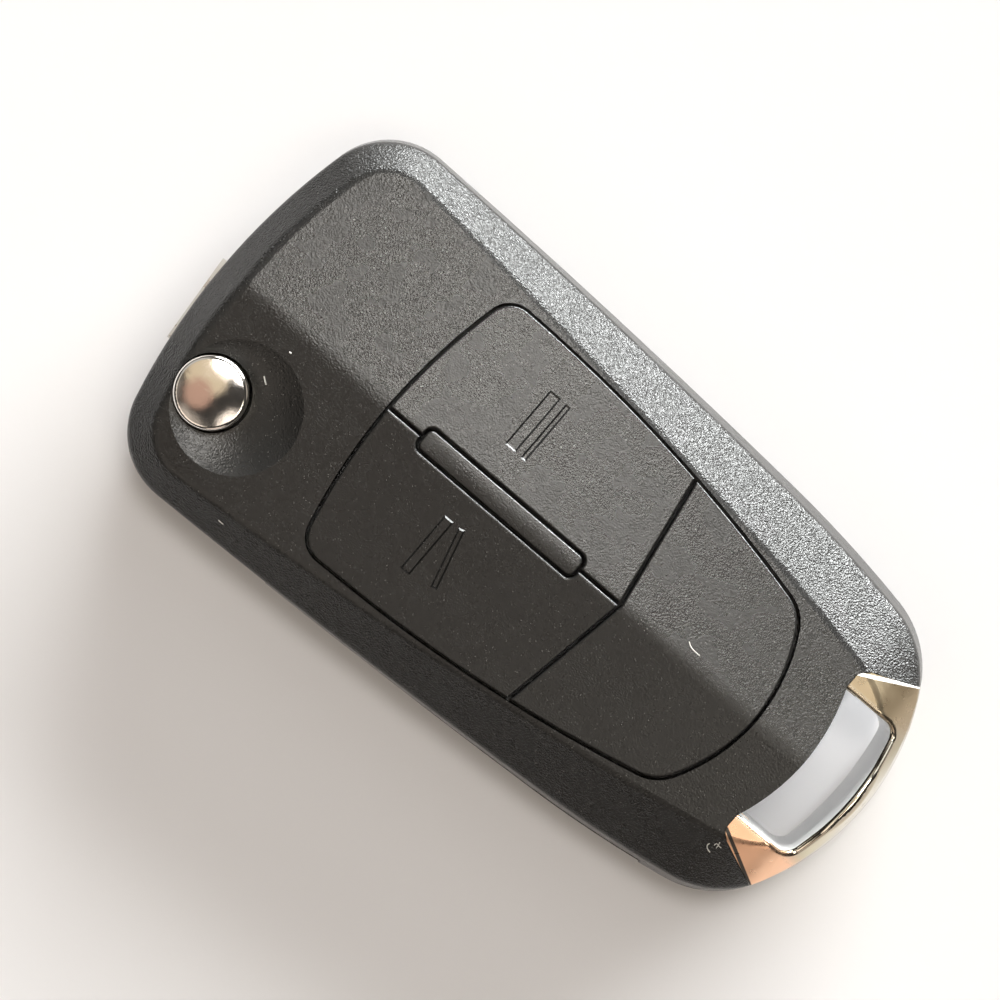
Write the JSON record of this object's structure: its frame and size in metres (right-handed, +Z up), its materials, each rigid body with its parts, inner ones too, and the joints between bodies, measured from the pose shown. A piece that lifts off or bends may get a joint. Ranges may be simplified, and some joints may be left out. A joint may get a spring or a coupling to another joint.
{
  "type": "folding car key remote",
  "caption": "Black folding car key remote with a ridged case, two buttons, a chromed blade release button and a chromed key ring loop.",
  "frame": {"origin": "centre of the footprint on the flat underside", "axes": "+X towards the head with the blade release button, +Y towards the side the blade folds out of, +Z up"},
  "size_m": [0.0742, 0.0388, 0.014],
  "materials": {
    "case_plastic": "fine spark-eroded grain",
    "key_plastic": "fine grain with smooth rounded edges",
    "chrome": "bright plated",
    "hub_metal": "satin nickel plated",
    "inner_plastic": "plain moulded",
    "blade_steel": "nickel plated",
    "spring_steel": "drawn wire",
    "board": "green solder mask",
    "chip_plastic": "moulded",
    "contact_metal": "tin plated",
    "ferrite": "sintered",
    "copper": "enamelled wire"
  },
  "bodies": {
    "case": {"front_shell": "case_plastic", "rear_shell": "case_plastic", "key_ring_loop": "chrome", "divider_bar": "key_plastic", "tail_panel": "key_plastic", "pad_carrier": "inner_plastic", "circuit_board": "board", "lock_switch": "contact_metal", "unlock_switch": "contact_metal", "coin_cell": "blade_steel", "positive_contact": "contact_metal", "negative_contact": "contact_metal", "control_chip": "chip_plastic", "antenna_core": "ferrite", "antenna_winding": "copper", "crystal_can": "contact_metal"},
    "blade_unit": {"blade_hub": "hub_metal", "key_blade": "blade_steel", "blade_roll_pin": "spring_steel", "release_spring": "spring_steel"},
    "release_button": {"release_button_cap": "chrome", "release_button_stem": "inner_plastic"},
    "lock_key": {"lock_button": "key_plastic"},
    "unlock_key": {"unlock_button": "key_plastic"},
    "lock_contact": {"lock_switch_plunger": "chip_plastic"},
    "unlock_contact": {"unlock_switch_plunger": "chip_plastic"}
  },
  "joints": [
    {"name": "blade_fold", "type": "hinge", "parent": "case", "child": "blade_unit", "pos_m": [0.02988, 0.009, 0.0058], "axis": [0, 0, -1], "range_deg": [0, 183.5]},
    {"name": "release_press", "type": "slide", "parent": "blade_unit", "child": "release_button", "axis": [0, 0, -1], "range_m": [0, 0.0016], "stiffness_N_per_m": 1200, "springref_m": -0.0015, "deforming": ["release_spring"]},
    {"name": "lock_press", "type": "slide", "parent": "case", "child": "lock_key", "axis": [0, 0, -1], "range_m": [0, 0.00035], "stiffness_N_per_m": 1500, "springref_m": -0.0004},
    {"name": "unlock_press", "type": "slide", "parent": "case", "child": "unlock_key", "axis": [0, 0, -1], "range_m": [0, 0.00035], "stiffness_N_per_m": 1500, "springref_m": -0.0004},
    {"name": "lock_switch_press", "type": "slide", "parent": "case", "child": "lock_contact", "axis": [0, 0, -1], "range_m": [0, 0.00035]},
    {"name": "unlock_switch_press", "type": "slide", "parent": "case", "child": "unlock_contact", "axis": [0, 0, -1], "range_m": [0, 0.00035]}
  ],
  "couplings": [
    {"joint": "lock_switch_press", "follows": "lock_press", "ratio": 1},
    {"joint": "unlock_switch_press", "follows": "unlock_press", "ratio": 1}
  ]
}
